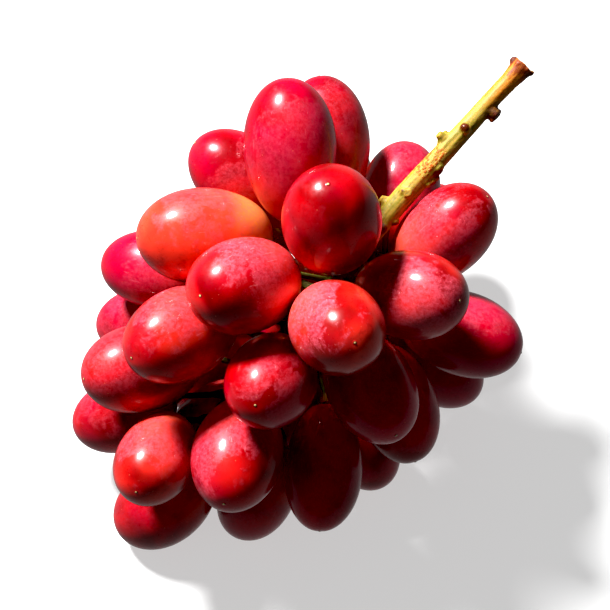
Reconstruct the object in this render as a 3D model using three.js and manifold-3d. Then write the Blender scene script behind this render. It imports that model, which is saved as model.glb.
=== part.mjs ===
// A bunch of large oval red grapes, lying on its side as it was cut from the vine.
//
// Millimetres, +Z up. The bunch rests on Z = 0, and the origin is under the middle of its box.
// One stem skeleton carries all the berries. It grew as one piece: a peduncle with a cut end, the
// rachis that runs on through the bunch, short laterals, and a pedicel with a collar for each berry.
import * as THREE from "three";
import { mergeVertices } from "three/addons/utils/BufferGeometryUtils.js";
import Module from "manifold-3d";

const wasm = await Module();
wasm.setup();

// ---- Driving dimensions ----

const BERRY_LENGTH = 35.5; // from the pedicel end to the tip of a berry of size 1
const BERRY_WIDTH = 24; // across a berry of size 1
const BERRY_EGG = 0.05; // how much fuller a berry is towards its tip
const BERRY_SEAT_RADIUS = 2.4; // the small flat at a berry's pedicel end
const BERRY_SIDES = 14;
const BERRY_RINGS = 8;

const FACE_LEAN = 30; // degrees that the bunch's broad face leans back from facing straight up
const RACHIS_HEIGHT = 49; // height of the rachis's middle above the surface
const FLOOR_DENT = 0.6; // how far a soft berry flattens where it bears on the surface

const PEDUNCLE_RADIUS = 2.4; // thinnest part of the bare stem
const CUT_END_RADIUS = 3.3; // swollen node where the stem was cut
const SHOULDER_RADIUS = 3.1; // where the rachis enters the bunch
const RACHIS_TIP_RADIUS = 1.2;
const PEDUNCLE_SHARE = 0.33; // share of the stem's line that is bare peduncle
const CUT_SHARE = 0.05; // share of it over which the cut end swells
const RACHIS_SIDES = 12;
const RACHIS_STEPS = 24;

const NODE_SPACING = 9; // between the nodes of the rachis that laterals leave from
const NODE_SETBACK = 8; // a lateral leaves this much nearer to the cut end than its berries hang
const LATERAL_RADIUS = 1.5;
const LATERAL_REACH = 0.4; // share of the way to its berries at which a lateral forks
const LATERAL_FAN = 50; // degrees between pedicels that still share a lateral
const LATERAL_SIDES = 6;

const PEDICEL_RADIUS = 0.95;
const PEDICEL_SIDES = 6;
const PEDICEL_STEPS = 3; // in the slender part, behind the collar
const COLLAR_RADIUS = 2.1; // the swollen end of a pedicel that the berry sits on
const COLLAR_LENGTH = 2.4;

const FRAME_STEPS = 48; // places along a limb's curve where its turn is worked out
const ROUTE_POINTS = 4; // spans of a twig's route through the bunch
const ROUTE_ROUNDS = 40;
const ROUTE_SMOOTHING = 0.3;

const SKIN_GAP = 0.3; // left between any two pieces that touch

// ---- The berries, placed on the bunch's face ----
//
// across is to the right, up is towards the stem end, and out is towards the open side, from the
// middle of the rachis. heading turns the berry's tip in the face (0 right, 90 up), and lift raises
// its tip out of the face. long and wide scale a berry of size 1.
// The places suit berries of PLACED_WIDTH and PLACED_LENGTH. They spread or close up with the
// berries' width, and a longer berry stands further out, so that its pedicel end stays.
const PLACED_WIDTH = 24;
const PLACED_LENGTH = 35.5;
const SPREAD = BERRY_WIDTH / PLACED_WIDTH;
const BERRIES = [
  // across, up, out, heading, lift, long, wide
  // the crown, which stands out furthest
  [6, 21, 41, 97, 62, 1.0, 1.05],
  [-13, 6, 37, 195, 52, 1.0, 1.03],
  [3, -3, 47, -39, 71, 0.98, 0.97],
  [27, 3, 32, -8, 48, 1.0, 0.97],
  [-9, -19, 34, 239, 68, 0.97, 0.97],
  // the second ring
  [-23, 16, 24, 183, 20, 1.05, 1.05],
  [-4, 41, 22, 92, 15, 1.09, 1.02],
  [-32, -7, 26, 207, 40, 1.0, 1.01],
  [17, -21, 24, -62, 38, 1.0, 0.97],
  [-18, -39, 20, 256, 45, 1.0, 1.0],
  [32, 25, 6, 42, 32, 1.0, 0.98],
  // the outline
  [6, 46, 2, 98, 5, 1.0, 0.96],
  [-17, 33, 4, 143, 20, 1.0, 0.96],
  [28, 28, -12, 75, 0, 0.94, 0.96],
  [42, -8, 4, -18, 10, 1.0, 0.96],
  [24, -27, 2, -72, 10, 0.97, 0.92],
  [5, -44, 6, -93, 15, 1.0, 0.88],
  [-38, -41, 10, 243, 58, 0.94, 0.9],
  [-43, -18, 7, 190, 30, 1.0, 1.0],
  [-40, 9, -6, 170, -10, 0.96, 0.9],
  [-44, -4, -19, 185, -15, 0.94, 0.88],
  [-47, -29, -10, 198, -20, 0.92, 0.88],
  [33, -16, -18, -35, -20, 0.96, 0.92],
  [18, -34, -15, -62, -15, 0.93, 0.9],
  [-17, -53, -12, 245, -25, 0.93, 0.9],
  [-35, -56, -11, 210, -20, 0.92, 0.92],
  // the side away from the face
  [28, 20, -32, 30, -40, 0.94, 0.94],
  [4, 32, -28, 85, -30, 0.97, 0.94],
  [-12, 30, -26, 125, -30, 0.97, 0.94],
  [-28, 15, -26, 160, -25, 0.94, 0.92],
  [-28, 0, -40, 175, -50, 0.92, 0.92],
  [24, -2, -36, 0, -30, 0.97, 0.94],
  [22, 10, -44, 20, -60, 0.94, 0.96],
  [8, 22, -44, 90, -60, 0.94, 0.96],
  [-12, 14, -44, 150, -60, 0.94, 0.94],
  // the side it lies on
  [-24, -26, -26, 220, -20, 0.92, 0.9],
  [-12, -30, -36, 235, 10, 0.97, 0.94],
  [4, -30, -34, 290, 20, 0.97, 0.94],
  [-24, -8, -42, 200, 5, 0.97, 0.94],
  [-2, -8, -44, 260, 25, 0.97, 0.94],
  [18, -2, -46, 0, -5, 0.97, 0.94],
];

// The line of the peduncle and rachis on the same face, from the cut end to the tip of the bunch.
const RACHIS_LINE = [
  [59, 65, 12],
  [48, 53, 12],
  [38, 42, 12],
  [27, 30, 10],
  [18, 19, 8],
  [11, 9, 4],
  [0, -2, 0],
  [-12, -15, -1],
  [-23, -28, -1],
  [-32, -38, -1],
];

// Scars and stubs of cut side shoots on the bare peduncle. Each stands at a distance from the cut
// end and points across, up and out. It rises clear of the bark, from a wider foot to a top.
const SCARS = [
  // distance, across, up, out, rise, foot radius, top radius
  [15, 0.77, -0.63, 0.3, 1.9, 1.9, 1.4],
  [23.5, 0.1, -0.1, 1, 0.9, 2.1, 1.3],
  [29, -0.75, 0.6, 0.3, 2.0, 1.7, 1.1],
  [36, 0.6, -0.5, 0.6, 0.5, 2.0, 1.2],
  [46, -0.1, -0.2, 1, 0.7, 1.9, 1.2],
  [52, -0.8, 0.6, 0, 1.6, 1.8, 1.1],
];
const SCAR_SIDES = 8;

// ---- Settling the berries together ----

const SETTLE_ROUNDS = 400;
const SETTLE_PULL = 0.12; // share of the way home that a berry is drawn back in each round
const SETTLE_FREE_ROUNDS = 100; // last rounds, with no pull, that clear the gaps
const SOFTEST = 0.03; // the last berry gives way the most, and the first has a firmness of 1
const PROBES = 9; // balls along a berry's axis that stand for its shape
const RACHIS_STOPS = 60; // balls along the rachis that berries keep off
const PEDICEL_ROOM = 9; // length of pedicel behind a berry that other berries keep off

const faceUp = new THREE.Vector3(
  0,
  Math.cos(THREE.MathUtils.degToRad(FACE_LEAN)),
  Math.sin(THREE.MathUtils.degToRad(FACE_LEAN)),
);
const faceRight = new THREE.Vector3(1, 0, 0);
const faceOut = new THREE.Vector3().crossVectors(faceRight, faceUp);

function onFace(across, up, out) {
  return new THREE.Vector3()
    .addScaledVector(faceRight, across)
    .addScaledVector(faceUp, up)
    .addScaledVector(faceOut, out);
}

function headingOnFace(heading, lift) {
  const turn = THREE.MathUtils.degToRad(heading);
  const raise = THREE.MathUtils.degToRad(lift);
  const flat = Math.cos(raise);
  return onFace(flat * Math.cos(turn), flat * Math.sin(turn), Math.sin(raise));
}

// Half the width of a berry of half length and half width 1, at a place from -1 (pedicel) to 1 (tip).
function berryProfile(along) {
  return Math.sqrt(Math.max(0, 1 - along * along)) * (1 + BERRY_EGG * along);
}

// A place given on the face, in the part's own axes and above the surface.
function placeOnFace([across, up, out]) {
  const place = onFace(across, up, out);
  place.z += RACHIS_HEIGHT;
  return place.multiplyScalar(SPREAD);
}

function makeBerry([across, up, out, heading, lift, long, wide]) {
  const axis = headingOnFace(heading, lift);
  const longer = (long * (BERRY_LENGTH - PLACED_LENGTH * SPREAD)) / 2;
  const home = placeOnFace([across, up, out]).addScaledVector(axis, longer);
  const halfLength = (BERRY_LENGTH * long) / 2;
  const halfWidth = (BERRY_WIDTH * wide) / 2;
  const berry = { home, place: home.clone(), axis, halfLength, halfWidth, probes: [] };
  // the balls that fill an oval have their centres this far along its axis at most
  const reach = halfLength - (halfWidth * halfWidth) / halfLength;
  for (let i = 0; i < PROBES; i += 1) {
    const along = (2 * i) / (PROBES - 1) - 1;
    const offset = along * reach;
    const ratio = (offset * offset) / (halfLength * reach);
    const radius = halfWidth * Math.sqrt(1 - ratio) * (1 + (BERRY_EGG * offset) / halfLength);
    berry.probes.push({ offset, radius: radius + SKIN_GAP / 2 });
  }
  const pedicel = PEDICEL_RADIUS + SKIN_GAP;
  for (let back = COLLAR_LENGTH; back < PEDICEL_ROOM; back += COLLAR_LENGTH) {
    berry.probes.push({ offset: -halfLength - back, radius: pedicel });
  }
  return berry;
}

function probeAt(berry, probe) {
  return berry.place.clone().addScaledVector(berry.axis, probe.offset);
}

// The deepest overlap of two berries, with the direction from the first to the second.
function deepestOverlap(one, other) {
  const found = { depth: 0, push: new THREE.Vector3() };
  const near = one.halfLength + other.halfLength + PEDICEL_ROOM * 2;
  if (one.place.distanceTo(other.place) > near) {
    return found;
  }
  const otherProbes = other.probes.map((probe) => probeAt(other, probe));
  for (const probe of one.probes) {
    const from = probeAt(one, probe);
    other.probes.forEach((otherProbe, i) => {
      const depth = probe.radius + otherProbe.radius - from.distanceTo(otherProbes[i]);
      if (depth > found.depth) {
        found.depth = depth;
        found.push.subVectors(otherProbes[i], from).normalize();
      }
    });
  }
  return found;
}

function lowestPoint(berry) {
  const rise = berry.axis.z;
  const level = 1 - rise * rise;
  const drop = Math.hypot(berry.halfLength * rise, berry.halfWidth * Math.sqrt(level));
  return berry.place.z - drop;
}

function isFlesh(berry, probe) {
  return probe.offset >= -berry.halfLength;
}

function keepOffRachis(berry, stops) {
  for (const probe of berry.probes.filter((one) => isFlesh(berry, one))) {
    const from = probeAt(berry, probe);
    for (const stop of stops) {
      const depth = probe.radius + stop.radius + SKIN_GAP - from.distanceTo(stop.point);
      if (depth > 0) {
        const push = from.clone().sub(stop.point).normalize();
        berry.place.addScaledVector(push, depth);
        from.addScaledVector(push, depth);
      }
    }
  }
}

function settle(berries, stops) {
  const last = berries.length - 1;
  const firmness = berries.map((berry, i) => SOFTEST ** (i / last));
  for (let round = 0; round < SETTLE_ROUNDS; round += 1) {
    const pull = round < SETTLE_ROUNDS - SETTLE_FREE_ROUNDS ? SETTLE_PULL : 0;
    berries.forEach((berry) => berry.place.lerp(berry.home, pull));
    berries.forEach((one, i) => {
      berries.slice(i + 1).forEach((other, k) => {
        const { depth, push } = deepestOverlap(one, other);
        if (depth > 0) {
          const share = firmness[i] / (firmness[i] + firmness[i + 1 + k]);
          one.place.addScaledVector(push, -depth * (1 - share));
          other.place.addScaledVector(push, depth * share);
        }
      });
    });
    for (const berry of berries) {
      keepOffRachis(berry, stops);
      const sunk = -FLOOR_DENT - lowestPoint(berry);
      berry.place.z += Math.max(0, sunk);
    }
  }
}

// ---- Solids ----

function toSolid(geometry) {
  const bare = geometry.clone();
  bare.deleteAttribute("normal");
  bare.deleteAttribute("uv");
  const merged = mergeVertices(bare, 1e-4);
  const vertProperties = new Float32Array(merged.attributes.position.array);
  const triVerts = new Uint32Array(merged.index.array);
  return new wasm.Manifold(new wasm.Mesh({ numProp: 3, vertProperties, triVerts }));
}

function toGeometry(solid) {
  const mesh = solid.getMesh();
  const geometry = new THREE.BufferGeometry();
  geometry.setAttribute("position", new THREE.BufferAttribute(mesh.vertProperties, 3));
  geometry.setIndex(new THREE.BufferAttribute(mesh.triVerts, 1));
  geometry.computeVertexNormals();
  return geometry;
}

// A round limb along a curve. Each station is a share of the curve and the radius there.
function limb(curve, stations, sides) {
  const last = stations.length - 1;
  const geometry = new THREE.CylinderGeometry(1, 1, 1, sides, last);
  const frames = curve.computeFrenetFrames(FRAME_STEPS, false);
  const points = geometry.attributes.position;
  for (let i = 0; i < points.count; i += 1) {
    const [share, radius] = stations[Math.round((points.getY(i) + 0.5) * last)];
    const frame = Math.round(share * FRAME_STEPS);
    const point = curve
      .getPointAt(share)
      .addScaledVector(frames.binormals[frame], points.getX(i) * radius)
      .addScaledVector(frames.normals[frame], points.getZ(i) * radius);
    points.setXYZ(i, point.x, point.y, point.z);
  }
  return toSolid(geometry);
}

// A straight tapered piece, from a point along a direction.
function peg(from, direction, length, startRadius, endRadius, sides) {
  const geometry = new THREE.CylinderGeometry(endRadius, startRadius, length, sides);
  geometry.translate(0, length / 2, 0);
  geometry.applyQuaternion(turnTo(direction));
  geometry.translate(from.x, from.y, from.z);
  return toSolid(geometry);
}

function turnTo(direction) {
  return new THREE.Quaternion().setFromUnitVectors(new THREE.Vector3(0, 1, 0), direction);
}

// ---- The stem skeleton ----

const rachisCurve = new THREE.CatmullRomCurve3(RACHIS_LINE.map(placeOnFace), false, "centripetal");
const RACHIS_LENGTH = rachisCurve.getLength();

function rachisRadius(t) {
  if (t < CUT_SHARE) {
    return THREE.MathUtils.lerp(CUT_END_RADIUS, PEDUNCLE_RADIUS, t / CUT_SHARE);
  }
  if (t < PEDUNCLE_SHARE) {
    const down = (t - CUT_SHARE) / (PEDUNCLE_SHARE - CUT_SHARE);
    return THREE.MathUtils.lerp(PEDUNCLE_RADIUS, SHOULDER_RADIUS, down);
  }
  const down = (t - PEDUNCLE_SHARE) / (1 - PEDUNCLE_SHARE);
  return THREE.MathUtils.lerp(SHOULDER_RADIUS, RACHIS_TIP_RADIUS, down);
}

function rachisStops() {
  const stops = [];
  for (let i = 0; i <= RACHIS_STOPS; i += 1) {
    const share = i / RACHIS_STOPS;
    stops.push({ point: rachisCurve.getPointAt(share), radius: rachisRadius(share) });
  }
  return stops;
}

function seatOf(berry) {
  return berry.place.clone().addScaledVector(berry.axis, -berry.halfLength);
}

// The node of the rachis that a berry's lateral leaves from, as a share of the line.
function nodeFor(berry) {
  const seat = seatOf(berry);
  const nodes = Math.floor(RACHIS_LENGTH / NODE_SPACING);
  const back = Math.round(NODE_SETBACK / NODE_SPACING);
  let nearest = 0;
  for (let i = 0; i <= nodes; i += 1) {
    const here = rachisCurve.getPointAt(i / nodes).distanceTo(seat);
    if (here < rachisCurve.getPointAt(nearest / nodes).distanceTo(seat)) {
      nearest = i;
    }
  }
  const firstNode = Math.ceil(PEDUNCLE_SHARE * nodes);
  return Math.max(firstNode, nearest - back) / nodes;
}

// Berries whose pedicels leave the same node in nearly the same direction share a lateral.
function gatherLaterals(berries) {
  const laterals = [];
  for (const berry of berries) {
    const node = nodeFor(berry);
    const start = rachisCurve.getPointAt(node);
    const way = seatOf(berry).sub(start);
    const fan = THREE.MathUtils.degToRad(LATERAL_FAN);
    const shared = laterals.find((one) => one.node === node && one.way.angleTo(way) < fan);
    if (shared) {
      shared.berries.push(berry);
    } else {
      laterals.push({ node, start, way, berries: [berry] });
    }
  }
  return laterals;
}

// Moves a point of a round twig clear of every berry.
function pushOffBerries(point, radius, berries) {
  for (const berry of berries) {
    if (berry.place.distanceTo(point) > berry.halfLength + radius + SKIN_GAP) {
      continue;
    }
    for (const probe of berry.probes.filter((one) => isFlesh(berry, one))) {
      const centre = probeAt(berry, probe);
      const depth = probe.radius + radius + SKIN_GAP - centre.distanceTo(point);
      if (depth > 0) {
        point.addScaledVector(point.clone().sub(centre).normalize(), depth);
      }
    }
  }
}

// Points from one end to the other, bowed clear of the berries and smoothed between them.
function clearRoute(ends, radius, berries) {
  const [start, finish] = ends;
  const route = [];
  for (let i = 0; i <= ROUTE_POINTS; i += 1) {
    route.push(start.clone().lerp(finish, i / ROUTE_POINTS));
  }
  for (let round = 0; round < ROUTE_ROUNDS; round += 1) {
    for (let i = 1; i < ROUTE_POINTS; i += 1) {
      const between = route[i - 1].clone().add(route[i + 1]).multiplyScalar(0.5);
      route[i].lerp(between, ROUTE_SMOOTHING);
      pushOffBerries(route[i], radius, berries);
    }
  }
  return route;
}

function pedicelSolid(fork, berry, berries) {
  const away = berry.axis.clone().negate();
  const collarEnd = seatOf(berry).addScaledVector(away, SKIN_GAP - seatDepth(berry));
  const collarStart = collarEnd.clone().addScaledVector(away, COLLAR_LENGTH);
  const route = clearRoute([fork, collarStart], PEDICEL_RADIUS, berries);
  const curve = new THREE.CatmullRomCurve3([...route, collarEnd], false, "centripetal");
  const slender = 1 - COLLAR_LENGTH / curve.getLength();
  const stations = [];
  for (let i = 0; i <= PEDICEL_STEPS; i += 1) {
    stations.push([(slender * i) / PEDICEL_STEPS, PEDICEL_RADIUS]);
  }
  stations.push([1, COLLAR_RADIUS]);
  return limb(curve, stations, PEDICEL_SIDES);
}

function scarSolids() {
  return SCARS.map(([distance, across, up, out, rise, foot, top]) => {
    const share = distance / RACHIS_LENGTH;
    const length = rachisRadius(share) + rise;
    const way = onFace(across, up, out).normalize();
    return peg(rachisCurve.getPointAt(share), way, length, foot, top, SCAR_SIDES);
  });
}

function stemSolid(berries) {
  const stations = [];
  for (let i = 0; i <= RACHIS_STEPS; i += 1) {
    stations.push([i / RACHIS_STEPS, rachisRadius(i / RACHIS_STEPS)]);
  }
  const pieces = [limb(rachisCurve, stations, RACHIS_SIDES), ...scarSolids()];
  for (const lateral of gatherLaterals(berries)) {
    const middle = new THREE.Vector3();
    lateral.berries.forEach((berry) => middle.add(seatOf(berry)));
    middle.divideScalar(lateral.berries.length);
    const fork = lateral.start.clone().lerp(middle, LATERAL_REACH);
    pushOffBerries(fork, LATERAL_RADIUS, berries);
    const route = clearRoute([lateral.start, fork], LATERAL_RADIUS, berries);
    const curve = new THREE.CatmullRomCurve3(route, false, "centripetal");
    const taper = [[0, LATERAL_RADIUS], [0.5, LATERAL_RADIUS], [1, PEDICEL_RADIUS]];
    pieces.push(limb(curve, taper, LATERAL_SIDES));
    lateral.berries.forEach((berry) => pieces.push(pedicelSolid(fork, berry, berries)));
  }
  const whole = pieces.reduce((one, other) => one.add(other));
  return trimOffBerries(whole, berries);
}

// Where a twig still bears on a berry, it is pared back to leave the gap.
function trimOffBerries(stem, berries) {
  let trimmed = stem;
  for (const berry of berries) {
    if (stem.intersect(berrySolid(berry, 0)).volume() > 0) {
      trimmed = trimmed.subtract(berrySolid(berry, SKIN_GAP));
    }
  }
  return trimmed;
}

// ---- The berries ----

// How far the flat at the pedicel end lies inside the full oval.
function seatDepth(berry) {
  const narrow = BERRY_SEAT_RADIUS / berry.halfWidth;
  return berry.halfLength * (1 - Math.sqrt(1 - narrow * narrow));
}

function berryGeometry(berry, growth) {
  const seatAngle = Math.asin(BERRY_SEAT_RADIUS / berry.halfWidth);
  const halfLength = berry.halfLength + growth;
  const halfWidth = berry.halfWidth + growth;
  const outline = [new THREE.Vector2(0, -halfLength * Math.cos(seatAngle))];
  for (let i = 0; i <= BERRY_RINGS; i += 1) {
    const angle = seatAngle + ((Math.PI - seatAngle) * i) / BERRY_RINGS;
    const along = -Math.cos(angle);
    const radius = i === BERRY_RINGS ? 0 : halfWidth * berryProfile(along);
    outline.push(new THREE.Vector2(radius, halfLength * along));
  }
  return new THREE.LatheGeometry(outline, BERRY_SIDES);
}

// The berry in place, grown all round by a margin, and cut flat where it bears on the surface.
function berrySolid(berry, growth) {
  const geometry = berryGeometry(berry, growth);
  geometry.applyQuaternion(turnTo(berry.axis));
  geometry.translate(berry.place.x, berry.place.y, berry.place.z);
  const solid = toSolid(geometry);
  if (lowestPoint(berry) >= 0) {
    return solid;
  }
  const side = 4 * BERRY_LENGTH;
  const aboveSurface = new THREE.BoxGeometry(side, side, side);
  aboveSurface.translate(berry.place.x, berry.place.y, side / 2);
  return solid.intersect(toSolid(aboveSurface));
}

// ---- The bunch ----

const berries = BERRIES.map(makeBerry);
settle(berries, rachisStops());

const bunch = new THREE.Group();

function addPiece(name, geometry, material) {
  const mesh = new THREE.Mesh(geometry, material);
  mesh.name = name;
  bunch.add(mesh);
}

addPiece(
  "stem",
  toGeometry(stemSolid(berries)),
  new THREE.MeshStandardMaterial({ color: 0xb9b04a, roughness: 0.7, metalness: 0 }),
);
berries.forEach((berry, i) => {
  const number = String(i + 1).padStart(2, "0");
  addPiece(
    `berry_${number}`,
    toGeometry(berrySolid(berry, 0)),
    new THREE.MeshStandardMaterial({ color: 0xb3142a, roughness: 0.3, metalness: 0 }),
  );
});

// The origin goes under the middle of the box.
const box = new THREE.Box3().setFromObject(bunch);
const centre = box.getCenter(new THREE.Vector3());
bunch.position.set(-centre.x, -centre.y, -box.min.z);

export default bunch;
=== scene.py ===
import math
import random

import bmesh
import bpy
import numpy as np
from mathutils import Matrix, Vector, noise
from mathutils.kdtree import KDTree


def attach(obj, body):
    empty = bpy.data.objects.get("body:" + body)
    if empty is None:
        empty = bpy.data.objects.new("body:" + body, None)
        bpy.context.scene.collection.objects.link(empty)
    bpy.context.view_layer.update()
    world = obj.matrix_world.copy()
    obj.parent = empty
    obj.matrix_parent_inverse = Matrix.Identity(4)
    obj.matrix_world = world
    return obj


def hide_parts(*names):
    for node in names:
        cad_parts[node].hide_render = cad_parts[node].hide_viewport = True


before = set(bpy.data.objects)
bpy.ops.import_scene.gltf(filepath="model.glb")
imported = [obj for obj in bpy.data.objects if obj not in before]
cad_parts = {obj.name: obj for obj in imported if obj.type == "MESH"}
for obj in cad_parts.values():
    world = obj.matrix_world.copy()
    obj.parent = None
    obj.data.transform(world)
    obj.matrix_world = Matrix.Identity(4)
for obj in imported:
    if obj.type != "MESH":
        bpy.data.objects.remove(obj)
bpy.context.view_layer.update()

MM = 0.001
BODY = "root"
STEM_NODE = "stem"
BERRY_NODES = sorted(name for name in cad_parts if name.startswith("berry_"))

FACE_ORIGIN = np.array([2.7, -3.8, 49]) * MM  # the middle of the bunch's broad face
FACE_AXES = np.array([[1, 0, 0], [0, 0.866, 0.5], [0, -0.5, 0.866]])  # right, up and out

# ---- What each berry looks like, by node number ----
#
# warmth: how orange, from 0 (deep crimson) to 1 (salmon); the salmon is partly the berry's own colour
# and partly painted glow of light through the flesh
# rose: how far the red turns to magenta
# bloom: how much waxy bloom is left on the skin
# side: where on the berry the bloom is thickest, given as right, up and out on the bunch's face
LOOKS = {
    # number: (warmth, rose, bloom, side)
    1: (0.24, 0.0, 0.12, (-0.8, -0.5, 0.2)),
    2: (0.40, 0.1, 0.85, (0.7, 0.6, 0.4)),
    3: (0.62, 0.1, 0.95, (-0.9, 0.2, 0.3)),
    4: (0.55, 0.15, 0.80, (-0.3, -0.3, 0.8)),
    5: (0.18, 0.2, 0.50, (0.7, 0.2, 0.7)),
    6: (0.95, 0.0, 0.55, (0.3, 0.8, 0.5)),
    7: (0.05, 0.55, 0.38, (-0.1, -0.5, 0.8)),
    8: (0.48, 0.0, 0.60, (0.3, 0.8, 0.4)),
    9: (0.10, 0.2, 0.40, (0.5, -0.6, 0.5)),
    10: (0.32, 0.1, 0.65, (-0.7, 0.4, 0.5)),
    11: (0.45, 0.3, 0.60, (-0.6, 0.1, 0.7)),
    12: (0.15, 0.3, 0.35, (0.2, 0.0, 1.0)),
    13: (0.35, 0.5, 0.50, (0.5, -0.2, 0.8)),
    14: (0.10, 0.6, 0.5, (-0.2, 0.3, 0.9)),
    15: (0.10, 0.6, 0.50, (-0.1, 0.9, 0.4)),
    16: (0.10, 0.3, 0.40, (0.8, 0.0, 0.5)),
    17: (0.10, 0.4, 0.40, (0.6, -0.5, 0.6)),
    18: (0.60, 0.0, 0.60, (0.3, 0.8, 0.5)),
    19: (0.35, 0.0, 0.45, (-0.3, 0.6, 0.7)),
    20: (0.05, 0.5, 0.45, (0.4, -0.3, 0.8)),
    21: (0.10, 0.5, 0.40, (-0.3, 0.0, 0.9)),
    22: (0.15, 0.3, 0.35, (0.0, 0.3, 0.9)),
    23: (0.05, 0.4, 0.25, (0.5, 0.0, 0.9)),
    24: (0.05, 0.4, 0.25, (0.5, 0.0, 0.9)),
    25: (0.05, 0.3, 0.25, (0.0, -0.5, 0.9)),
    # 26 has no warmth and little bloom: its deep red is partly its own colour and partly painted
    #                                    shade
    26: (0.00, 0.1, 0.15, (-0.3, -0.3, 0.9)),
}
# Hidden berries draw theirs from these ranges, with the bloom on any side.
ANY_WARMTH = (0.05, 0.5)
ANY_ROSE = (0, 0.7)
ANY_BLOOM = (0.3, 0.65)


# ---- Reading the frame ----

def mesh_vectors(data, key):
    """The mesh's vertex positions (co) or normals (normal), as rows of three."""
    values = np.empty(len(data.vertices) * 3)
    data.vertices.foreach_get(key, values)
    return values.reshape(-1, 3)


def node_points(name):
    return mesh_vectors(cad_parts[name].data, "co")


STEM_POINTS = node_points(STEM_NODE)
SEAT_RADIUS = 2.4 * MM  # of the flat at a CAD berry's pedicel end
EGG = 0.05  # how much fuller a berry is towards its tip
END_BAND = 0.2 * MM  # points this near to the end of a CAD berry belong to the end
BELLY = 0.35  # share of a CAD berry's length, each way from its middle, where its width is read


class Berry:
    """Where one CAD berry is: its middle, its axis from pedicel to tip, and its half sizes."""

    def __init__(self, name):
        points = np.unique(node_points(name).round(6), axis=0)
        middle = points.mean(axis=0)
        axis = np.linalg.svd(points - middle)[2][0]
        ends = [(points - middle) @ (sign * axis) for sign in (1, -1)]
        low, high = [points[end > end.max() - END_BAND].mean(axis=0) for end in ends]
        if stem_distance(low) > stem_distance(high):
            low, high = high, low
        self.name = name
        self.number = int(name.split("_")[1])
        self.seat = low
        self.tip = high
        self.axis = (high - low) / np.linalg.norm(high - low)
        self.half_width = self._half_width(points)
        narrow = SEAT_RADIUS / self.half_width
        span = np.linalg.norm(high - low)
        self.half_length = span / (1 + math.sqrt(1 - narrow * narrow))
        self.middle = high - self.axis * self.half_length

    def _half_width(self, points):
        span = np.linalg.norm(self.tip - self.seat)
        middle = (self.tip + self.seat) / 2
        along = (points - middle) @ self.axis
        across = np.linalg.norm(points - middle - np.outer(along, self.axis), axis=1)
        belly = np.abs(along) < BELLY * span
        share = along[belly] / (span / 2)
        return float(np.median(across[belly] / profile(share)))


def stem_distance(point):
    return np.linalg.norm(STEM_POINTS - point, axis=1).min()


def profile(along):
    """Half the width of a berry of half width 1, at a share of its half length."""
    return np.sqrt(np.clip(1 - along * along, 0, None)) * (1 + EGG * along)


# ---- Mesh helpers ----

def new_object(name, data):
    piece = bpy.data.objects.new(name, data)
    bpy.context.collection.objects.link(piece)
    return piece


def add_attribute(data, name, kind, values):
    layer = data.attributes.new(name, kind, "POINT")
    key = "vector" if kind == "FLOAT_VECTOR" else "value"
    layer.data.foreach_set(key, np.asarray(values, dtype=np.float32).ravel())


def smooth_shade(data):
    data.polygons.foreach_set("use_smooth", [True] * len(data.polygons))


# ---- The berries ----

ROWS = 48
COLUMNS = 56
CROWDING = 0.36  # how much closer the rows stand at the two ends
LUMP = 0.011  # how far a berry is from round, as a share of its half width
BEND = (0.1, 0.35)  # mm that a berry's middle is bent to one side
DIMPLE_DEPTH = 0.35 * MM
DIMPLE_WIDTH = 2.2 * MM
SCAR_RADIUS = 0.34 * MM
SCAR_HEIGHT = 0.2 * MM
SCAR_HOLLOW = 0.12 * MM  # depth of the shallow hollow round the scar
SCAR_HOLLOW_WIDTH = 1.5 * MM
SCAR_SPREAD = 1.15  # how far the scar's colour reaches, in scar radii
BERRY_SEED = 977
GRAIN_SHIFT = 50  # mm by which each berry's pattern may be moved, so that no two are alike


def polar_steps():
    """Angles from the pedicel end (0) to the tip (pi), closer together at both ends."""
    even = np.linspace(0, math.pi, ROWS + 1)
    return even - CROWDING * np.sin(2 * even)


def berry_surface(berry, rng):
    """Points on the skin, ring by ring, in the berry's own axes: x and y across, z along."""
    phase = [rng.uniform(0, 2 * math.pi) for _ in range(4)]
    size = [rng.uniform(0.4, 1.0) * LUMP for _ in range(4)]
    bend = rng.uniform(*BEND) * MM
    turns = np.linspace(0, 2 * math.pi, COLUMNS, endpoint=False)
    rings = []
    for angle in polar_steps()[1:-1]:
        along = -math.cos(angle)
        lump = (
            1
            + size[0] * np.sin(turns + phase[0] + along)
            + size[1] * np.sin(2 * turns + phase[1] - 0.7 * along)
            + 0.5 * size[2] * np.sin(3 * turns + phase[2] + 1.3 * along)
            + size[3] * math.sin(2.4 * along + phase[3]) * (1 - along * along)
        )
        radius = berry.half_width * profile(np.array(along)) * lump
        x = radius * np.cos(turns) + bend * (1 - along * along)
        y = radius * np.sin(turns)
        off_axis = np.hypot(x, y)
        z = np.full(COLUMNS, along * berry.half_length)
        if along < 0:
            z = z + DIMPLE_DEPTH * np.exp(-((off_axis / DIMPLE_WIDTH) ** 2))
        else:
            z = z + tip_relief(off_axis)
        rings.append(np.stack([x, y, z], axis=1))
    return np.concatenate(rings)


def tip_relief(off_axis):
    """The dry dot where the flower's style fell off, standing in a shallow hollow."""
    wart = SCAR_HEIGHT * np.exp(-((off_axis / SCAR_RADIUS) ** 4))
    hollow = SCAR_HOLLOW * np.exp(-((off_axis / SCAR_HOLLOW_WIDTH) ** 2))
    return wart - hollow


def ring_faces(rings, columns):
    faces = []
    for ring in range(rings - 1):
        start = ring * columns
        for column in range(columns):
            across = (column + 1) % columns
            faces.append((start + column, start + across, start + columns + across,
                          start + columns + column))
    return faces


def berry_faces():
    rings = ROWS - 1
    faces = ring_faces(rings, COLUMNS)
    low, high = rings * COLUMNS, rings * COLUMNS + 1
    top = (rings - 1) * COLUMNS
    for column in range(COLUMNS):
        across = (column + 1) % COLUMNS
        faces.append((low, across, column))
        faces.append((high, top + column, top + across))
    return faces


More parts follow.
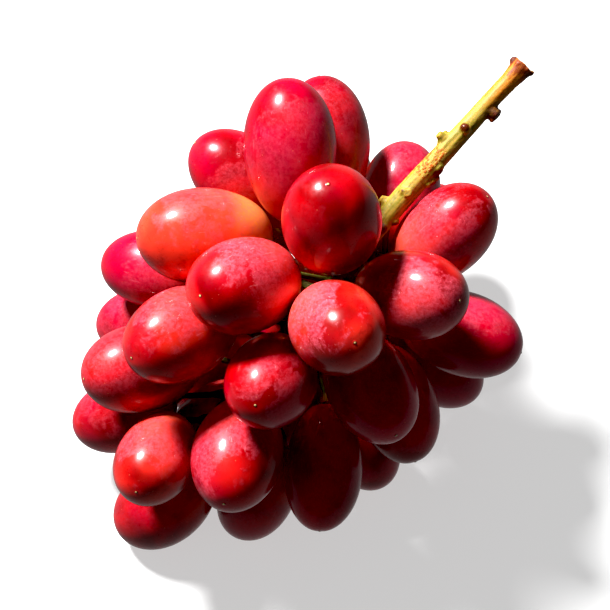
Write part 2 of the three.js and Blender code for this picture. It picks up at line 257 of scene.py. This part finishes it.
def look_of(berry, rng):
    drawn = (rng.uniform(*ANY_WARMTH), rng.uniform(*ANY_ROSE), rng.uniform(*ANY_BLOOM),
             [rng.gauss(0, 1) for _ in range(3)])
    return LOOKS.get(berry.number, drawn)


def add_skin_attributes(data, berry, points, world, rng):
    """What the skin's material reads. points are in the berry's axes and world is where they are."""
    shift = np.array([rng.uniform(-GRAIN_SHIFT, GRAIN_SHIFT) for _ in range(3)])
    add_attribute(data, "grain", "FLOAT_VECTOR", points / MM + shift)
    add_attribute(data, "along", "FLOAT", points[:, 2] / berry.half_length)
    off_axis = np.hypot(points[:, 0], points[:, 1])
    at_tip = (points[:, 2] > 0) * np.exp(-((off_axis / (SCAR_RADIUS * SCAR_SPREAD)) ** 6))
    add_attribute(data, "tip_scar", "FLOAT", at_tip)
    warmth, rose, bloom, side = look_of(berry, rng)
    for name, value in (("warmth", warmth), ("rose", rose), ("bloom", bloom)):
        add_attribute(data, name, "FLOAT", np.full(len(points), value))
    towards = np.array(side) @ FACE_AXES
    outward = (world - berry.middle) / (np.linalg.norm(world - berry.middle, axis=1)[:, None])
    add_attribute(data, "facing", "FLOAT", outward @ (towards / np.linalg.norm(towards)))


def berry_piece(berry):
    rng = random.Random(berry.number * BERRY_SEED)
    pole_low = np.array([[0, 0, DIMPLE_DEPTH - berry.half_length]])
    pole_high = np.array([[0, 0, berry.half_length + float(tip_relief(np.array(0.0)))]])
    points = np.concatenate([berry_surface(berry, rng), pole_low, pole_high])
    turn = Vector((0, 0, 1)).rotation_difference(Vector(berry.axis)).to_matrix()
    world = points @ np.array(turn).T + berry.middle
    world[:, 2] = np.maximum(world[:, 2], 0)  # pressed flat on the surface it lies on
    data = bpy.data.meshes.new(f"grape_{berry.number:02d}")
    data.from_pydata(world.tolist(), [], berry_faces())
    data.update()
    smooth_shade(data)
    add_skin_attributes(data, berry, points, world, rng)
    piece = new_object(data.name, data)
    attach(piece, BODY)
    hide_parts(berry.name)
    return piece


# ---- The stem ----

VOXEL = 0.36 * MM
SMOOTHING_ROUNDS = 3
SMOOTHING = 0.5  # share of the way each vertex moves in a round
WELD = 1e-6
KNOB_FINENESS = 3
BARK_RIDGE = 0.16 * MM
BARK_RIDGE_SCALE = 0.62
BARK_DRAWN_OUT = 0.14  # the bark's pattern along the stem, as a share of its scale across
BARK_GRAIN = 0.07 * MM
BARK_GRAIN_SCALE = 1.7
TORN_DEPTH = 0.45 * MM  # how deep the torn fibres of the cut end go
TORN_SCALE = 0.9
TORN_REACH = (0.2 * MM, 1.6 * MM)  # from the cut end, where the tearing begins to fade and ends
# The bare stem and its stubs, which have bark: how far down the stem and how far from its middle
# they go, and where the bark has faded into the green of the pedicels.
BARE_LENGTH = (58 * MM, 66 * MM)
BARE_RADIUS = (6.5 * MM, 8.5 * MM)
# The middle of the stem on the face, from its cut end into the bunch.
STEM_ROUTE = np.array([
    [59, 65, 12], [48, 53, 12], [38, 42, 12], [27, 30, 10], [18, 19, 8], [11, 9, 4], [0, -2, 0],
]) * MM
# Knobs on the bare stem: distance from the cut end, degrees round it (0 right, 90 out, 180 left),
# distance of the knob's middle from the stem's middle, and its radius.
KNOBS = [
    (0.8, 180, 2.6, 1.25), (1.0, 120, 2.7, 0.8), (0.7, 60, 2.9, 0.7), (0.4, 10, 3.0, 0.8),
    (0.5, 320, 2.7, 0.9), (0.8, 230, 2.7, 0.9),
    (14.6, 2, 2.7, 1.5), (16.0, 4, 3.2, 1.1), (16.9, 10, 3.9, 0.6), (13.6, -6, 3.6, 0.7),
    (23.7, 97, 3.0, 1.25),
    (28.6, 166, 2.4, 1.5), (27.6, 172, 3.4, 0.6), (30.4, 168, 2.4, 1.2),
    (36.6, 22, 2.6, 1.1), (39.5, 12, 3.1, 1.1), (41.2, 25, 3.0, 0.9), (38.0, 2, 3.3, 0.8),
    (46.8, 112, 2.3, 1.3),
    (52.0, 185, 3.0, 1.4), (54.5, 20, 2.7, 1.2), (57.5, 60, 2.7, 1.0),
]
BUD = (23.7, 97, 3.4)  # distance from the cut end, degrees, distance from the middle
BUD_RADIUS = (1.15 * MM, 1.6 * MM)  # where its colour begins to fade, and where it ends
# The patch of rusty dots: where it is full and where it has faded, as distances from the cut end
# at its start and its end, and as degrees each side of its middle.
PATCH_START = (32.5 * MM, 30.5 * MM)
PATCH_END = (39.5 * MM, 42 * MM)
PATCH_MIDDLE = 125
PATCH_WIDTH = (38, 60)
COLLAR_FULL = 2.2 * MM  # distance from a berry's seat where the collar's colour is full
COLLAR_FADE = 1.6 * MM
DRY_FADE = (0.65, 1.15)  # where a dry top begins to fade and where it ends, in its radii
# Dark dry tops: distance from the cut end, degrees, distance from the middle, radius.
DRY_SPOTS = [
    (15.0, 20, 4.8, 4.2), (27.4, 176, 4.6, 1.0), (37.0, 30, 3.6, 1.8), (40.2, 10, 4.2, 1.5),
    (46.8, 112, 3.9, 0.6), (55.5, 20, 4.2, 1.6), (58.5, 70, 3.4, 2.2), (0.6, 178, 3.7, 1.9),
    (1.2, 20, 3.7, 1.6),
]


class StemLine:
    """The middle line of the bare stem, with the frame round it at each step."""

    STEP = 0.25 * MM
    SUBSTEPS = 80  # between two corners of the route

    def __init__(self):
        corners = FACE_ORIGIN + STEM_ROUTE @ FACE_AXES
        ends = [2 * corners[0] - corners[1], *corners, 2 * corners[-1] - corners[-2]]
        fine = []  # a smooth curve through every corner
        for a, b, c, d in zip(ends, ends[1:], ends[2:], ends[3:]):
            for t in np.linspace(0, 1, self.SUBSTEPS, endpoint=False):
                fine.append(0.5 * (2 * b + (c - a) * t + (2 * a - 5 * b + 4 * c - d) * t * t
                                   + (3 * b - a - 3 * c + d) * t ** 3))
        fine = np.array(fine)
        lengths = np.concatenate([[0], np.cumsum(np.linalg.norm(np.diff(fine, axis=0), axis=1))])
        stops = np.arange(0, lengths[-1], self.STEP)
        self.points = np.stack([np.interp(stops, lengths, fine[:, i]) for i in range(3)], axis=1)
        ways = np.gradient(self.points, axis=0)
        self.ways = ways / np.linalg.norm(ways, axis=1)[:, None]
        sides = np.cross(self.ways, FACE_AXES[2]) * -1
        self.sides = sides / np.linalg.norm(sides, axis=1)[:, None]
        self.outs = np.cross(self.ways, self.sides)
        self.tree = KDTree(len(self.points))
        for i, point in enumerate(self.points):
            self.tree.insert(point, i)
        self.tree.balance()

    def place(self, travel, degrees, away):
        """A point at a distance in mm down the stem, at an angle round it, in mm from its middle."""
        i = min(int(travel * MM / self.STEP), len(self.points) - 1)
        turn = math.radians(degrees)
        way = self.sides[i] * math.cos(turn) + self.outs[i] * math.sin(turn)
        return self.points[i] + way * away * MM

    def measure(self, points):
        """How far down the stem, how far round it and how far from its middle each point is."""
        nearest = np.array([self.tree.find(point)[1] for point in points])
        offset = points - self.points[nearest]
        down = (offset * self.ways[nearest]).sum(axis=1)
        offset = offset - down[:, None] * self.ways[nearest]
        travel = nearest * self.STEP + down
        across = (offset * self.sides[nearest]).sum(axis=1)
        out = (offset * self.outs[nearest]).sum(axis=1)
        return nearest, travel, across, out


def remeshed_stem(line):
    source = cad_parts[STEM_NODE]
    data = source.data.copy()
    piece = new_object("grape_stem", data)
    data.materials.clear()
    shape = bmesh.new()
    shape.from_mesh(data)
    bmesh.ops.remove_doubles(shape, verts=shape.verts, dist=WELD)
    for travel, degrees, away, radius in KNOBS:
        place = Matrix.Translation(Vector(line.place(travel, degrees, away)))
        bmesh.ops.create_icosphere(
            shape, subdivisions=KNOB_FINENESS, radius=radius * MM, matrix=place)
    shape.to_mesh(data)
    shape.free()
    remesh = piece.modifiers.new("remesh", "REMESH")
    remesh.mode = "VOXEL"
    remesh.voxel_size = VOXEL
    smooth = piece.modifiers.new("smooth", "SMOOTH")
    smooth.iterations = SMOOTHING_ROUNDS
    smooth.factor = SMOOTHING
    fine = bpy.data.meshes.new_from_object(
        piece.evaluated_get(bpy.context.evaluated_depsgraph_get())
    )
    piece.modifiers.clear()
    piece.data = fine
    fine.name = "grape_stem"
    return piece


def fade(values, full, none):
    """1 where a value is at or past full, 0 at or past none, and smooth between."""
    share = np.clip((values - none) / (full - none), 0, 1)
    return share * share * (3 - 2 * share)


def shape_bark(points, normals, ways, bark, bare, travel):
    """Raises long ridges on the bare stem and a fine grain everywhere, and tears the cut end."""
    ragged = fade(travel, *TORN_REACH)
    for i in range(len(points)):
        p = Vector(points[i]) / MM
        ridge = noise.noise(Vector(bark[i]) * BARK_RIDGE_SCALE) * BARK_RIDGE * bare[i]
        grain = noise.noise(p * BARK_GRAIN_SCALE) * BARK_GRAIN
        torn = abs(noise.noise(p * TORN_SCALE)) * TORN_DEPTH * ragged[i] * bare[i]
        points[i] += normals[i] * (ridge + grain) - ways[i] * torn


def distances(points, place):
    return np.linalg.norm(points - place, axis=1)


def dry_marks(points, line):
    dry = np.zeros(len(points))
    for travel, degrees, away, radius in DRY_SPOTS:
        gap = distances(points, line.place(travel, degrees, away)) / (radius * MM)
        dry = np.maximum(dry, fade(gap, *DRY_FADE))
    return dry


def rusty_patch(travel, across, out):
    turned = np.abs(np.degrees(np.arctan2(out, across)) - PATCH_MIDDLE)
    return fade(travel, *PATCH_START) * fade(travel, *PATCH_END) * fade(turned, *PATCH_WIDTH)


def stem_piece(berries):
    line = StemLine()
    piece = remeshed_stem(line)
    data = piece.data
    points = mesh_vectors(data, "co")
    nearest, travel, across, out = line.measure(points)
    bare = fade(np.hypot(across, out), *BARE_RADIUS) * fade(travel, *BARE_LENGTH)
    bark = np.stack([travel * BARK_DRAWN_OUT, across, out], axis=1) / MM
    shape_bark(points, mesh_vectors(data, "normal"), line.ways[nearest], bark, bare, travel)
    data.vertices.foreach_set("co", points.ravel())
    data.update()
    smooth_shade(data)
    near_seat = np.min([distances(points, berry.seat) for berry in berries], axis=0)
    add_attribute(data, "grain", "FLOAT_VECTOR", points / MM)
    add_attribute(data, "bark", "FLOAT_VECTOR", bark)
    add_attribute(data, "bare", "FLOAT", bare)
    add_attribute(data, "travel", "FLOAT", travel / MM)
    add_attribute(data, "collar", "FLOAT", np.clip(1 - (near_seat - COLLAR_FULL) / COLLAR_FADE, 0, 1))
    add_attribute(data, "dry", "FLOAT", dry_marks(points, line) * bare)
    add_attribute(data, "bud", "FLOAT", fade(distances(points, line.place(*BUD)), *BUD_RADIUS))
    add_attribute(data, "patch", "FLOAT", rusty_patch(travel, across, out) * bare)
    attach(piece, BODY)
    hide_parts(STEM_NODE)
    return piece


# ---- Materials ----

class Nodes:
    """Short ways to add and join shader nodes."""

    def __init__(self, name):
        self.material = bpy.data.materials.new(name)
        self.material.use_nodes = True
        self.tree = self.material.node_tree
        self.shader = self.tree.nodes["Principled BSDF"]

    def add(self, kind, **settings):
        node = self.tree.nodes.new(kind)
        for key, value in settings.items():
            setattr(node, key, value)
        return node

    def join(self, source, socket):
        self.tree.links.new(source, socket)

    def set_shader(self, values):
        """Sets the shader's own numbers and colours."""
        for name, value in values.items():
            self.shader.inputs[name].default_value = value

    def attribute(self, name, output="Fac"):
        return self.add("ShaderNodeAttribute", attribute_name=name).outputs[output]

    def noise(self, vector, scale, detail=2.0, roughness=0.5, distortion=0.0):
        node = self.add("ShaderNodeTexNoise")
        self.join(vector, node.inputs["Vector"])
        node.inputs["Scale"].default_value = scale
        node.inputs["Detail"].default_value = detail
        node.inputs["Roughness"].default_value = roughness
        node.inputs["Distortion"].default_value = distortion
        return node.outputs["Fac"]

    def stretch(self, vector, factors):
        """The coordinates scaled along each axis, to draw a pattern out into streaks."""
        node = self.add("ShaderNodeVectorMath", operation="MULTIPLY")
        self.join(vector, node.inputs[0])
        node.inputs[1].default_value = factors
        return node.outputs["Vector"]

    def dots(self, vector, scale, size):
        """1 inside small round dots, 0 outside."""
        node = self.add("ShaderNodeTexVoronoi")
        self.join(vector, node.inputs["Vector"])
        node.inputs["Scale"].default_value = scale
        return self.remap(node.outputs["Distance"], size, size * 0.5, 0, 1)

    def remap(self, value, low, high, to_low=0.0, to_high=1.0):
        """Runs smoothly from to_low, where the value is low, to to_high, where it is high."""
        node = self.add("ShaderNodeMapRange", interpolation_type="SMOOTHSTEP")
        self.join(value, node.inputs["Value"])
        node.inputs["From Min"].default_value = low
        node.inputs["From Max"].default_value = high
        node.inputs["To Min"].default_value = to_low
        node.inputs["To Max"].default_value = to_high
        return node.outputs["Result"]

    def math(self, operation, first, second):
        node = self.add("ShaderNodeMath", operation=operation)
        for socket, value in zip(node.inputs, (first, second)):
            if isinstance(value, (int, float)):
                socket.default_value = value
            else:
                self.join(value, socket)
        return node.outputs[0]

    def mix(self, factor, first, second):
        """Goes from the first colour to the second. A colour is an RGB triple or a socket."""
        node = self.add("ShaderNodeMix", data_type="RGBA")
        self.join(factor, node.inputs[0])
        for socket, colour in ((node.inputs[6], first), (node.inputs[7], second)):
            if isinstance(colour, tuple):
                socket.default_value = (*colour, 1)
            else:
                self.join(colour, socket)
        return node.outputs[2]

    def bump(self, height, strength, distance, under=None):
        node = self.add("ShaderNodeBump")
        self.join(height, node.inputs["Height"])
        node.inputs["Strength"].default_value = strength
        node.inputs["Distance"].default_value = distance
        if under is not None:
            self.join(under, node.inputs["Normal"])
        return node.outputs["Normal"]


CRIMSON = (0.52, 0.0025, 0.009)
DEEP_CRIMSON = (0.25, 0.0005, 0.003)
MAGENTA = (0.44, 0.003, 0.050)
# salmon: partly the flesh's own colour, partly painted glow of light through it
SALMON = (0.88, 0.085, 0.042)
AMBER = (0.86, 0.38, 0.08)
BLOOM_PINK = (0.74, 0.14, 0.20)
SCRATCH_PINK = (0.84, 0.34, 0.36)
SPECK = (0.70, 0.26, 0.14)
SCAR_TAN = (0.66, 0.46, 0.22)
SCAR_DARK = (0.05, 0.008, 0.006)
FLESH_DEPTH = 3.0 * MM  # how far light travels under the skin
FILM_COVER = 0.68  # how much of the skin's colour a full film of bloom hides


def skin_reds(nodes, grain, warmth, rose):
    """Crimson in soft clouds, towards magenta in places and towards salmon on warm berries and at the
    pedicel end, where the salmon is partly painted glow of light through the flesh.
    """
    clouds = nodes.noise(grain, scale=0.075, detail=2.5, roughness=0.5, distortion=0.5)
    colour = nodes.mix(nodes.remap(clouds, 0.32, 0.62), DEEP_CRIMSON, CRIMSON)
    flush = nodes.noise(grain, scale=0.06, detail=2.0, roughness=0.5, distortion=0.3)
    flush = nodes.math("ADD", nodes.remap(flush, 0.3, 0.7, -0.35, 0.35), rose)
    colour = nodes.mix(nodes.remap(flush, 0.0, 1.0, 0, 0.9), colour, MAGENTA)
    thin = nodes.noise(grain, scale=0.07, detail=2.0, roughness=0.45, distortion=0.4)
    salmon = nodes.math("ADD", nodes.remap(thin, 0.3, 0.7, -0.22, 0.25), warmth)
    # more salmon towards the pedicel end: partly the paler colour there, partly painted glow of light
    # through the flesh
    near_pedicel = nodes.remap(nodes.attribute("along"), 0.45, -0.75, -0.18, 0.50)
    salmon = nodes.math("ADD", salmon, near_pedicel)
    return nodes.mix(nodes.remap(salmon, 0.1, 1.1, 0, 0.95), colour, SALMON), thin


def amber_end(nodes, colour, thin, warmth):
    """The pedicel end, where the flesh shows through amber."""
    pale = nodes.remap(nodes.attribute("along"), 0.10, -0.80)
    pale = nodes.math("MULTIPLY", pale, nodes.remap(warmth, 0.15, 0.9, 0.15, 1.0))
    pale = nodes.math("ADD", pale, nodes.remap(thin, 0.3, 0.7, -0.15, 0.15))
    return nodes.mix(nodes.remap(pale, 0.15, 1.0, 0, 0.95), colour, AMBER)


def waxy_bloom(nodes, grain, blotches, dust, wax):
    """How thick the wax is, and the film it makes: thickest on one side, rubbed off in patches."""
    facing = nodes.attribute("facing")
    patches = nodes.noise(grain, scale=0.085, detail=6.0, roughness=0.62, distortion=0.7)
    thick = nodes.math("MULTIPLY", patches, 0.7)
    thick = nodes.math("ADD", thick, nodes.math("MULTIPLY", blotches, 0.3))
    thick = nodes.math("ADD", thick, nodes.remap(facing, -0.5, 0.9, -0.10, 0.13))
    film = nodes.remap(thick, 0.52, 0.60)
    film = nodes.math("MULTIPLY", film, nodes.remap(dust, 0.34, 0.64, 0.25, 1.0))
    veil = nodes.remap(facing, 0.0, 0.95, 0.0, 0.05)
    return thick, nodes.math("MULTIPLY", nodes.math("MAXIMUM", film, veil), wax)


def scratches(nodes, grain, thick, wax):
    """Fine pale lines along the berry, where there is wax to scratch."""
    drawn_out = nodes.stretch(grain, (1.0, 1.0, 0.05))
    lines = nodes.noise(drawn_out, scale=2.1, detail=1.0, roughness=0.4, distortion=0.3)
    lines = nodes.math("MULTIPLY", nodes.remap(lines, 0.70, 0.75), nodes.remap(thick, 0.48, 0.56))
    return nodes.math("MULTIPLY", lines, nodes.math("MULTIPLY", wax, 0.35))


def skin_relief(nodes, grain):
    pores = nodes.noise(grain, scale=3.0, detail=2.0, roughness=0.5)
    relief = nodes.bump(pores, strength=0.04, distance=0.1 * MM)
    swell = nodes.noise(grain, scale=0.2, detail=2.0, roughness=0.5)
    return nodes.bump(swell, strength=0.10, distance=0.6 * MM, under=relief)


def skin_material():
    nodes = Nodes("grape_skin")
    grain = nodes.attribute("grain", "Vector")
    warmth = nodes.attribute("warmth")
    wax = nodes.attribute("bloom")
    colour, thin = skin_reds(nodes, grain, warmth, nodes.attribute("rose"))
    blotches = nodes.noise(grain, scale=0.26, detail=4.0, roughness=0.6, distortion=0.5)
    colour = nodes.mix(nodes.remap(blotches, 0.50, 0.68, 0, 0.35), colour, DEEP_CRIMSON)
    colour = amber_end(nodes, colour, thin, warmth)
    dust = nodes.noise(grain, scale=1.0, detail=5.0, roughness=0.72, distortion=0.4)
    thick, film = waxy_bloom(nodes, grain, blotches, dust, wax)
    colour = nodes.mix(nodes.math("MULTIPLY", film, FILM_COVER), colour, BLOOM_PINK)
    colour = nodes.mix(scratches(nodes, grain, thick, wax), colour, SCRATCH_PINK)
    # tiny pale specks, and the dry dot at the tip
    specks = nodes.dots(grain, scale=0.36, size=0.075)
    colour = nodes.mix(nodes.math("MULTIPLY", specks, 0.4), colour, SPECK)
    scar = nodes.attribute("tip_scar")
    colour = nodes.mix(nodes.remap(scar, 0.02, 0.4), colour, SCAR_DARK)
    colour = nodes.mix(nodes.remap(scar, 0.5, 0.9), colour, SCAR_TAN)
    nodes.join(colour, nodes.shader.inputs["Base Color"])
    rough = nodes.remap(dust, 0.3, 0.7, 0.26, 0.38)
    rough = nodes.math("ADD", rough, nodes.math("MULTIPLY", film, 0.28))
    nodes.join(rough, nodes.shader.inputs["Roughness"])
    nodes.join(skin_relief(nodes, grain), nodes.shader.inputs["Normal"])
    nodes.set_shader({
        "IOR": 1.33,
        "Subsurface Weight": 0.25,
        "Subsurface Radius": (1.0, 0.12, 0.08),
        "Subsurface Scale": FLESH_DEPTH,
        "Coat Weight": 0.55,
        "Coat Roughness": 0.13,
        "Coat IOR": 1.35,
    })
    return nodes.material


STEM_GREEN = (0.26, 0.22, 0.020)
STEM_YELLOW = (0.48, 0.33, 0.065)
STEM_OLIVE = (0.07, 0.06, 0.01)
STEM_ORANGE = (0.58, 0.20, 0.012)
STEM_UMBER = (0.22, 0.036, 0.004)
STEM_BROWN = (0.07, 0.014, 0.005)
STEM_RUST = (0.50, 0.12, 0.003)
STEM_CORK = (0.72, 0.40, 0.09)
PITH = (0.86, 0.68, 0.34)
BUD_BROWN = (0.13, 0.03, 0.008)
# the pedicels' green, kept dark: partly their own colour, partly painted shade inside the bunch
PEDICEL_GREEN_AND_SHADE = (0.095, 0.105, 0.018)
STEM_DEPTH = 2.2 * MM  # how far light travels under the bark


def bark_colour(nodes, bark, mottle, streak, bare):
    """Straw yellow with greener streaks and olive flecks when bare, and inside the bunch a dark olive
    green that is partly painted shade.
    """
    skin = nodes.mix(nodes.remap(streak, 0.34, 0.62), STEM_GREEN, STEM_YELLOW)
    flecks = nodes.noise(bark, scale=1.8, detail=5.0, roughness=0.7)
    skin = nodes.mix(nodes.remap(flecks, 0.50, 0.68, 0, 0.55), skin, STEM_OLIVE)
    # inside the bunch: dark olive green, partly painted shade
    inner_green_and_shade = nodes.mix(nodes.remap(mottle, 0.3, 0.7), STEM_OLIVE, PEDICEL_GREEN_AND_SHADE)
    return nodes.mix(bare, inner_green_and_shade, skin)


def cut_end(nodes, colour, mottle, streak, bare):
    """Orange, then umber, towards the cut end, with pale torn fibres on the end itself."""
    travel = nodes.attribute("travel")
    ragged = nodes.math("ADD", travel, nodes.remap(streak, 0.3, 0.7, -3.5, 3.5))
    orange = nodes.math("MULTIPLY", nodes.remap(ragged, 19.0, 3.0, 0, 0.85), bare)
    colour = nodes.mix(orange, colour, STEM_ORANGE)
    umber = nodes.math("MULTIPLY", nodes.remap(ragged, 6.5, 1.5, 0, 0.92), bare)
    colour = nodes.mix(umber, colour, STEM_UMBER)
    torn = nodes.math("MULTIPLY", nodes.remap(travel, 0.3, -0.3), bare)
    fibres = nodes.mix(nodes.remap(mottle, 0.4, 0.55), STEM_ORANGE, PITH)
    return nodes.mix(torn, colour, fibres)


def rusty_dots(nodes, colour, grain):
    """Corky rust dots close together in one patch, and fine specks all over."""
    patch = nodes.attribute("patch")
    rust = nodes.math("MULTIPLY", nodes.dots(grain, scale=1.15, size=0.62), patch)
    colour = nodes.mix(nodes.math("MULTIPLY", patch, 0.3), colour, STEM_CORK)
    colour = nodes.mix(nodes.math("MULTIPLY", rust, 0.95), colour, STEM_RUST)
    specks = nodes.math("MULTIPLY", nodes.dots(grain, scale=0.8, size=0.13), 0.6)
    return nodes.mix(specks, colour, STEM_RUST), rust


def dry_tops(nodes, colour, mottle, bud):
    """The dry tops of the stubs and scars, the smooth bud, and the collars."""
    dry = nodes.remap(mottle, 0.25, 0.5, 0.55, 1.0)
    dry = nodes.math("MULTIPLY", nodes.attribute("dry"), dry)
    dry_skin = nodes.mix(nodes.remap(mottle, 0.38, 0.68), STEM_BROWN, STEM_UMBER)
    colour = nodes.mix(dry, colour, dry_skin)
    colour = nodes.mix(bud, colour, BUD_BROWN)
    collar = nodes.math("MULTIPLY", nodes.attribute("collar"), 0.5)
    return nodes.mix(collar, colour, STEM_ORANGE)


def stem_material():
    nodes = Nodes("grape_stem")
    grain = nodes.attribute("grain", "Vector")
    bark = nodes.attribute("bark", "Vector")
    bare = nodes.attribute("bare")
    bud = nodes.attribute("bud")
    mottle = nodes.noise(grain, scale=0.35, detail=4.0, roughness=0.6, distortion=0.5)
    streak = nodes.noise(bark, scale=0.75, detail=4.0, roughness=0.6, distortion=0.4)
    colour = bark_colour(nodes, bark, mottle, streak, bare)
    colour = cut_end(nodes, colour, mottle, streak, bare)
    colour, rust = rusty_dots(nodes, colour, grain)
    colour = dry_tops(nodes, colour, mottle, bud)
    nodes.join(colour, nodes.shader.inputs["Base Color"])
    rough = nodes.remap(streak, 0.3, 0.7, 0.50, 0.68)
    rough = nodes.math("SUBTRACT", rough, nodes.math("MULTIPLY", bud, 0.25))
    nodes.join(rough, nodes.shader.inputs["Roughness"])
    relief = nodes.noise(bark, scale=2.6, detail=4.0, roughness=0.65)
    relief = nodes.bump(relief, strength=0.30, distance=0.15 * MM)
    relief = nodes.bump(rust, strength=0.6, distance=0.25 * MM, under=relief)
    nodes.join(relief, nodes.shader.inputs["Normal"])
    nodes.set_shader({
        "Subsurface Weight": 0.65,
        "Subsurface Radius": (1.0, 0.7, 0.15),
        "Subsurface Scale": STEM_DEPTH,
    })
    return nodes.material


WHITE = (1, 1, 1, 1)
BLACK = (0, 0, 0, 1)
FLOOR_GREY = (0.40, 0.40, 0.40)
FLOOR_PALE = (0.43, 0.43, 0.425)


def floor_material():
    nodes = Nodes("pale_floor")
    place = nodes.add("ShaderNodeTexCoord").outputs["Object"]
    mottle = nodes.noise(place, scale=6.0, detail=3.0)
    colour = nodes.mix(mottle, FLOOR_GREY, FLOOR_PALE)
    nodes.join(colour, nodes.shader.inputs["Base Color"])
    nodes.set_shader({
        "Roughness": 0.6,
        "Emission Color": WHITE,
        "Emission Strength": FLOOR_GLOW,
    })
    return nodes.material


def card_material():
    nodes = Nodes("dim_card")
    nodes.set_shader({
        "Base Color": BLACK,
        "Specular IOR Level": 0,
        "Emission Color": WHITE,
        "Emission Strength": CARD_GLOW,
    })
    return nodes.material


# ---- Stage, light and camera ----

ELEVATION = math.radians(60)  # the camera looks down at the lying bunch
DISTANCE = 0.45
LENS = 95.6
SENSOR_WIDTH = 36
NEAREST = 0.01  # nothing nearer to the camera than this is shown
AIM = Vector((2.7, -3.8, 49.5)) * MM
FLOOR_RADIUS = 1.6
WALL_BEND = 0.9  # radius of the curve from the floor into the wall
WALL_HEIGHT = 2.6
SWEEP_SIDES = 72
BEND_STEP = 10  # degrees
CARD_DEPTH = 2 * MM  # of the card below the floor
FLOOR_GLOW = 0.50  # lifts the bunch's shadow
CARD_GLOW = 0.40
FILL = 0.13  # the even light from all round
KEY_WAY = (-0.44, 0.75, 0.48)  # right, up and towards the camera
KEY_DISTANCE = 1.5
KEY_SIZE = 0.32
KEY_POWER = 64
BLACK_LEVEL = 0.012
EXPOSURE = 0.25
GAMMA = 0.82

RIGHT = Vector((1, 0, 0))
UP = Vector((0, math.sin(ELEVATION), math.cos(ELEVATION)))
TOWARDS = Vector((0, -math.cos(ELEVATION), math.sin(ELEVATION)))


def add_camera():
    data = bpy.data.cameras.new("camera")
    data.lens = LENS
    data.sensor_width = SENSOR_WIDTH
    data.clip_start = NEAREST
    camera = new_object("camera", data)
    turn = Matrix((RIGHT, UP, TOWARDS)).transposed()
    camera.matrix_world = Matrix.Translation(AIM + TOWARDS * DISTANCE) @ turn.to_4x4()
    bpy.context.scene.camera = camera


def add_light(name, way, distance, size, power):
    """A round soft light, shining at the bunch from a direction given as right, up, towards."""
    data = bpy.data.lights.new(name, "AREA")
    data.shape = "DISK"
    data.size = size
    data.energy = power
    light = new_object(name, data)
    place = (RIGHT * way[0] + UP * way[1] + TOWARDS * way[2]).normalized() * distance
    light.location = AIM + place
    light.rotation_euler = (-place).to_track_quat("-Z", "Y").to_euler()


def sweep_mesh():
    """A round pale floor that curves up into a wall all round."""
    bend = [math.radians(step) for step in range(0, 91, BEND_STEP)]
    section = [
        (FLOOR_RADIUS + WALL_BEND * math.sin(angle), WALL_BEND * (1 - math.cos(angle)))
        for angle in bend
    ]
    section.append((FLOOR_RADIUS + WALL_BEND, WALL_HEIGHT))
    points = []
    for radius, height in section:
        for side in range(SWEEP_SIDES):
            turn = 2 * math.pi * side / SWEEP_SIDES
            points.append((radius * math.cos(turn), radius * math.sin(turn), height))
    faces = [face[::-1] for face in ring_faces(len(section), SWEEP_SIDES)]
    faces.append(tuple(range(SWEEP_SIDES)))
    data = bpy.data.meshes.new("floor")
    data.from_pydata(points, [], faces)
    smooth_shade(data)
    return data


def card_mesh():
    data = bpy.data.meshes.new("dim_card")
    half = FLOOR_RADIUS + WALL_BEND
    corners = [(-half, -half), (half, -half), (half, half), (-half, half)]
    data.from_pydata([(x, y, -CARD_DEPTH) for x, y in corners], [], [(0, 1, 2, 3)])
    return data


def add_stage():
    floor = new_object("floor", sweep_mesh())
    floor.data.materials.append(floor_material())
    # Underneath, the berries stay deep in colour and mirror only a dim card in place of the floor.
    floor.visible_diffuse = False
    floor.visible_glossy = False
    card = new_object("dim_card", card_mesh())
    card.data.materials.append(card_material())
    card.visible_camera = False
    card.visible_diffuse = False
    card.visible_shadow = False
    world = bpy.data.worlds.new("world")
    bpy.context.scene.world = world
    world.use_nodes = True
    background = world.node_tree.nodes["Background"]
    background.inputs["Color"].default_value = WHITE
    background.inputs["Strength"].default_value = FILL


def grade_picture():
    grade = bpy.context.scene.view_settings
    grade.view_transform = "Standard"
    grade.use_curve_mapping = True
    grade.curve_mapping.black_level = (BLACK_LEVEL, BLACK_LEVEL, BLACK_LEVEL)
    grade.curve_mapping.update()
    grade.exposure = EXPOSURE
    grade.gamma = GAMMA


def main():
    berries = [Berry(name) for name in BERRY_NODES]
    skin = skin_material()
    for berry in berries:
        berry_piece(berry).data.materials.append(skin)
    stem_piece(berries).data.materials.append(stem_material())
    add_stage()
    add_light("key", KEY_WAY, KEY_DISTANCE, KEY_SIZE, KEY_POWER)
    add_camera()
    grade_picture()


main()
